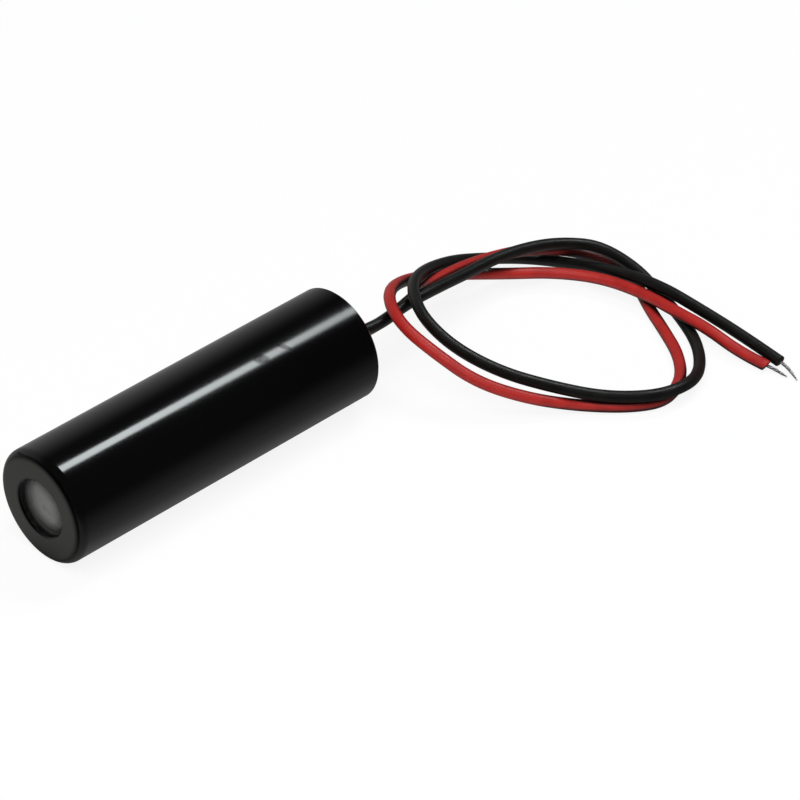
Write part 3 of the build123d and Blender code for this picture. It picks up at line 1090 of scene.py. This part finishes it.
@dataclass(frozen=True)
class FloorPaint(Finish):
    """Plain white floor that keeps a soft shadow, and that gloss shows dimmer the farther off it is.

    Attributes:
        front: Where the barrel that shades the floor starts.
        rear: Where it ends.
        glow: Share of plain white that the camera sees, the rest being lit by the lamps.
        mirrored: Brightness of the floor in reflections.
        horizon: Brightness in reflections far off on the +X side.
        reach: Distance on the +X side at which half of that brightness is left.
        shade: Distances from the axis between which the barrel's own shade ends.
        nose: Distances behind the barrel's front between which that shade sets in.
        ahead: Distances in front of the barrel between which the bright patch in reflections ends.
        colour: Colour that the lamps light.
    """

    front: float
    rear: float
    glow: float = 0.88
    mirrored: float = 0.31
    horizon: float = 0.04
    reach: float = 20.0 * MM
    shade: Pair = (0.5 * MM, 8.0 * MM)
    nose: Pair = (-4.8 * MM, 2.0 * MM)
    ahead: Pair = (8.0 * MM, 60.0 * MM)
    colour: Colour = (0.90, 0.90, 0.90, 1.0)

    def patch(self, graph: Graph) -> Signal:
        """The floor in reflections: a soft patch around the object, less the object's own shade.

        Args:
            graph: The material's node tree.

        Returns:
            Its brightness.
        """
        x, y, _ = graph.place()
        away = x.math(Op.MAXIMUM, 0.0) / self.reach
        close = 1.0 - (self.front - y).ramp(*self.ahead)
        under = (y - self.front).ramp(*self.nose) * (1.0 - (y - self.rear).ramp(0.0, self.shade[1]))
        shaded = (1.0 - abs(x).ramp(*self.shade)) * under
        return ((away ** 2.0 + 1.0) ** -1.0 * close * self.mirrored + self.horizon) * (1.0 - shaded)

    def paint(self, graph: Graph) -> None:
        """White to the camera and through glass, a dim patch to gloss.

        Args:
            graph: The material's node tree.
        """
        path = graph.node("ShaderNodeLightPath")
        seen = graph.out(path, "Is Camera Ray").math(Op.MAXIMUM, graph.out(path, "Is Transmission Ray"))
        lit = graph.node("ShaderNodeBsdfDiffuse", None, {"Color": self.colour})
        white = graph.node("ShaderNodeEmission", None, {"Color": (1, 1, 1, 1), "Strength": 1.0})
        black = graph.node("ShaderNodeEmission", None, {"Color": (0, 0, 0, 1), "Strength": 0.0})
        plain = self.mix(graph, seen * self.glow, lit, white)
        mirror = self.mix(graph, self.patch(graph), black, white)
        both = self.mix(graph, graph.out(path, "Is Glossy Ray"), plain, mirror)
        graph.node("ShaderNodeOutputMaterial", None, {"Surface": graph.out(both)})

    @staticmethod
    def mix(graph: Graph, share: Signal, first: bpy.types.Node, second: bpy.types.Node) -> bpy.types.Node:
        """Mix of two shaders, by the share of the second one."""
        shaders = {1: graph.out(first), 2: graph.out(second)}
        return graph.node("ShaderNodeMixShader", None, {0: share, **shaders})


@dataclass
class Lamp:
    """One rectangular studio lamp.

    Attributes:
        name: Name of the lamp.
        place: Where it hangs.
        aim: The point that it faces.
        size: Its width and length, in metres.
        power: Its power in watts.
        turn: Turn of its length about its own axis, in radians.
        mirrored: Whether gloss shows it.
        colour: Colour of its light.
    """

    name: str
    place: Point
    aim: Point
    size: Pair
    power: float
    turn: float = 0.0
    mirrored: bool = True
    colour: tuple[float, float, float] = (1.0, 1.0, 1.0)

    def hang(self) -> None:
        """Put the lamp in the scene."""
        light = bpy.data.lights.new(self.name, "AREA")
        light.shape = "RECTANGLE"
        light.size, light.size_y = self.size
        light.energy = self.power
        light.color = self.colour
        lamp = bpy.data.objects.new(self.name, light)
        heading = Vector(self.aim) - Vector(self.place)
        turned = heading.to_track_quat("-Z", "Y").to_matrix().to_4x4()
        lamp.matrix_world = Matrix.Translation(self.place) @ turned @ Matrix.Rotation(self.turn, 4, "Z")
        lamp.visible_glossy = self.mirrored
        bpy.context.scene.collection.objects.link(lamp)


@dataclass
class Studio:
    """Floor, lamps, surroundings and camera.

    Attributes:
        floor_z: Height of the floor.
        barrel_front: Where the barrel starts along the axis.
        barrel_rear: Where it ends.
        camera_place: Where the camera stands.
        elevation: How far it looks down, in radians.
        azimuth: How far it is turned about Z, in radians.
        lens_mm: Its focal length.
        sensor_mm: Width of its sensor.
        floor_half: Half the floor's width.
        mirrored_room: Brightness of the surroundings in reflections.
        mirrored_side: What the -X side adds to that.
        side_span: Shares of the way towards -X between which that side sets in.
        low_glow: Light that comes from near the horizon.
        low_span: Heights between which that light ends.
        sky_glow: Light that comes from all around.
        lamps: The studio's lamps.
    """

    floor_z: float
    barrel_front: float
    barrel_rear: float
    camera_place: Point = (0.27542, -0.23558, 0.26950)
    elevation: float = math.radians(36.356)
    azimuth: float = math.radians(45.768)
    lens_mm: float = 180.0
    sensor_mm: float = 36.0
    floor_half: float = 6.0
    mirrored_room: float = 0.03
    mirrored_side: float = 0.36
    side_span: Pair = (0.42, 0.95)
    low_glow: float = 0.35
    low_span: Pair = (0.02, 0.30)
    sky_glow: float = 0.05
    lamps: tuple[Lamp, ...] = (
        Lamp(
            "strip",
            (0.0191, 0.2438, 0.4048),
            (0.0, 0.0, 0.0),
            (0.083, 0.175),
            0.60,
            math.radians(-22.0),
            colour=(0.93, 0.99, 1.0),
        ),
        Lamp("fill", (0.25, -0.35, 0.75), (0.0, 0.02, 0.0), (0.8, 0.8), 9.0, 0.0, False),
    )

    def set_up(self) -> None:
        """Build the whole studio."""
        self.floor()
        self.surroundings()
        for lamp in self.lamps:
            lamp.hang()
        self.camera()
        bpy.context.scene.view_settings.view_transform = "Standard"

    def floor(self) -> None:
        """A large pale floor under the object."""
        shape = bmesh.new()
        bmesh.ops.create_grid(shape, x_segments=1, y_segments=1, size=self.floor_half)
        bmesh.ops.translate(shape, verts=shape.verts, vec=(0.0, 0.0, self.floor_z))
        made = mesh_object("floor", shape)
        paint = FloorPaint("floor_paint", self.barrel_front, self.barrel_rear)
        made.data.materials.append(paint.material())
        made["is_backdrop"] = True

    def surroundings(self) -> None:
        """White to the camera, a bright horizon in light, and in reflections dark but for the -X side."""
        world = bpy.data.worlds.new("studio")
        world.use_nodes = True
        graph = Graph(world.node_tree)
        way = graph.node("ShaderNodeTexCoord")
        split = graph.node("ShaderNodeSeparateXYZ", None, {0: graph.out(way, "Generated")})
        height = graph.out(split, "Z")
        side = (graph.out(split, "X") * -1.0).ramp(*self.side_span)
        mirrored = side * self.mirrored_side + self.mirrored_room
        glow = (1.0 - height.ramp(*self.low_span)) * self.low_glow + self.sky_glow
        path = graph.node("ShaderNodeLightPath")
        seen = graph.out(path, "Is Camera Ray")
        gloss = graph.out(path, "Is Glossy Ray")
        strength = seen + gloss * mirrored + (1.0 - seen - gloss) * glow
        back = graph.node("ShaderNodeBackground", None, {"Color": (1, 1, 1, 1), "Strength": strength})
        graph.node("ShaderNodeOutputWorld", None, {"Surface": graph.out(back)})
        bpy.context.scene.world = world

    def camera(self) -> None:
        """The camera at the photograph's angle."""
        data = bpy.data.cameras.new("camera")
        data.lens = self.lens_mm
        data.sensor_width = self.sensor_mm
        data.clip_start = 0.01
        data.clip_end = 50.0
        camera = bpy.data.objects.new("camera", data)
        camera.location = self.camera_place
        camera.rotation_euler = (math.pi / 2 - self.elevation, 0.0, self.azimuth)
        bpy.context.scene.collection.objects.link(camera)
        bpy.context.scene.camera = camera


def report(names: list[str], done: str) -> None:
    """Log what was done to each piece."""
    for name in names:
        LOG.info("%s %s", name, done)


def main() -> None:
    """Load the frame, dress it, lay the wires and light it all."""
    logging.basicConfig(level=logging.INFO, format="%(name)s: %(message)s")
    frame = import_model()
    cad_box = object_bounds()
    nodes = frame["nodes"]
    tinned = Metal(
        "tinned_copper",
        colour=(0.44, 0.43, 0.41, 1),
        tarnish=(0.34, 0.33, 0.31, 1),
        roughness=0.50,
        bareness=0.45,
    )
    red = Insulation(
        "red_insulation",
        colour=(0.40, 0.018, 0.014, 1),
        shade=(0.31, 0.012, 0.010, 1),
        # Painted shade between wires and near the floor.
        painted_crevice_shade=(0.008, 0.003, 0.003, 1),
    )
    black = Insulation(
        "black_insulation",
        colour=(0.0035, 0.0035, 0.003, 1),
        shade=(0.006, 0.006, 0.0055, 1),
        # Painted shade between wires and near the floor.
        painted_crevice_shade=(0.002, 0.002, 0.002, 1),
        roughness=0.43,
    )
    report(Housing(nodes).dress(), "dressed")
    report(Insides(nodes).dress(tinned), "dressed")
    exit_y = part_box("rear_plug")[1].y
    wires = (
        SupplyWire(Lead.RED, red, tinned, exit_y, cut_slant=0.26 * MM),
        SupplyWire(Lead.BLACK, black, tinned, exit_y),
    )
    for wire in wires:
        report(wire.build(), "laid")
    barrel_low, barrel_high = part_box("barrel")
    Studio(cad_box[0].z, barrel_low.y, barrel_high.y).set_up()
    bpy.context.view_layer.update()


if __name__ == "__main__":
    main()
